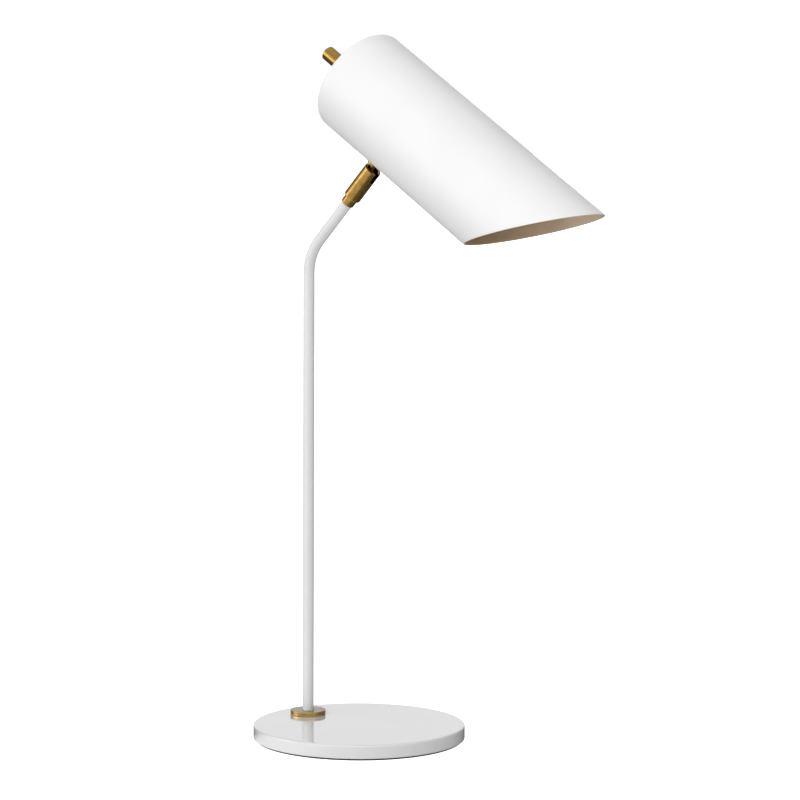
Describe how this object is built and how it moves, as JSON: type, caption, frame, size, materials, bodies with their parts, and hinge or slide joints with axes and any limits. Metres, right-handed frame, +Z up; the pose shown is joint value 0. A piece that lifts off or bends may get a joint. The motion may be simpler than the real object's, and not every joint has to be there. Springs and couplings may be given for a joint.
{
  "type": "desk lamp",
  "caption": "Desk lamp with a round base, a bent stem, a brass ball joint in a slotted sleeve and a slant-cut tube shade with a rotary knob.",
  "frame": {"origin": "centre of the base's underside, on the desk", "axes": "+X from the stem towards the shade's mouth, +Z up, with the stem, the arm and the shade's axis in the XZ plane"},
  "size_m": [0.3522, 0.185, 0.612],
  "materials": {
    "white_paint": "satin",
    "gloss_white_paint": "gloss",
    "shade_paint": "satin",
    "aged_brass": "satin",
    "zinc_steel": "satin",
    "nickel": "satin",
    "dark_felt": "matte",
    "black_rubber": "matte",
    "white_nylon": "satin",
    "black_phenolic": "satin",
    "opal_diffuser": "satin",
    "lead_sheath": "satin"
  },
  "bodies": {
    "stand": {"base_disc": "gloss_white_paint", "base_pad": "dark_felt", "stem_collar": "aged_brass", "stem_tube": "white_paint", "stem_lock_washer": "zinc_steel", "earth_tag": "aged_brass", "stem_nut": "zinc_steel", "cord_grommet": "black_rubber", "terminal_block": "white_nylon", "block_screw": "zinc_steel", "stem_lead": "lead_sheath", "neck_ferrule": "aged_brass", "neck_washer": "zinc_steel", "neck_nut": "zinc_steel"},
    "sleeve": {"swivel_sleeve": "aged_brass", "spring_washer": "zinc_steel", "joint_spring": "zinc_steel", "ball_seat": "white_nylon"},
    "ball": {"ball_stem": "aged_brass"},
    "head": {"shade_saddle": "aged_brass", "shade_shell": "shade_paint", "holder_bracket": "zinc_steel", "stud_washer": "zinc_steel", "stud_nut": "zinc_steel", "holder_nipple": "zinc_steel", "holder_nut": "zinc_steel", "lampholder_cap": "black_phenolic", "lampholder_body": "black_phenolic", "screw_shell": "aged_brass", "centre_contact": "aged_brass", "bulb_cap": "nickel", "bulb_housing": "white_nylon", "bulb_dome": "opal_diffuser", "switch_body": "black_phenolic", "switch_ferrule": "aged_brass", "head_lead": "lead_sheath", "switch_lead": "lead_sheath"},
    "knob": {"switch_knob": "aged_brass", "switch_spindle": "zinc_steel", "knob_screw": "zinc_steel"}
  },
  "joints": [
    {"name": "sleeve_swivel", "type": "hinge", "parent": "stand", "child": "sleeve", "pos_m": [0.0082, 0, 0.492], "axis": [0.7071, 0, 0.7071], "range_deg": [-160, 160]},
    {"name": "head_tilt", "type": "hinge", "parent": "sleeve", "child": "ball", "pos_m": [0.0082, 0, 0.492], "axis": [0, 1, 0], "range_deg": [-6, 88]},
    {"name": "head_turn", "type": "hinge", "parent": "ball", "child": "head", "pos_m": [0.0082, 0, 0.492], "axis": [0.5329, 0, 0.8462], "range_deg": [-90, 90]},
    {"name": "knob_turn", "type": "hinge", "parent": "head", "child": "knob", "pos_m": [-0.00164, 0, 0.57301], "axis": [0.8462, 0, -0.5329], "range_deg": [0, 90]}
  ]
}
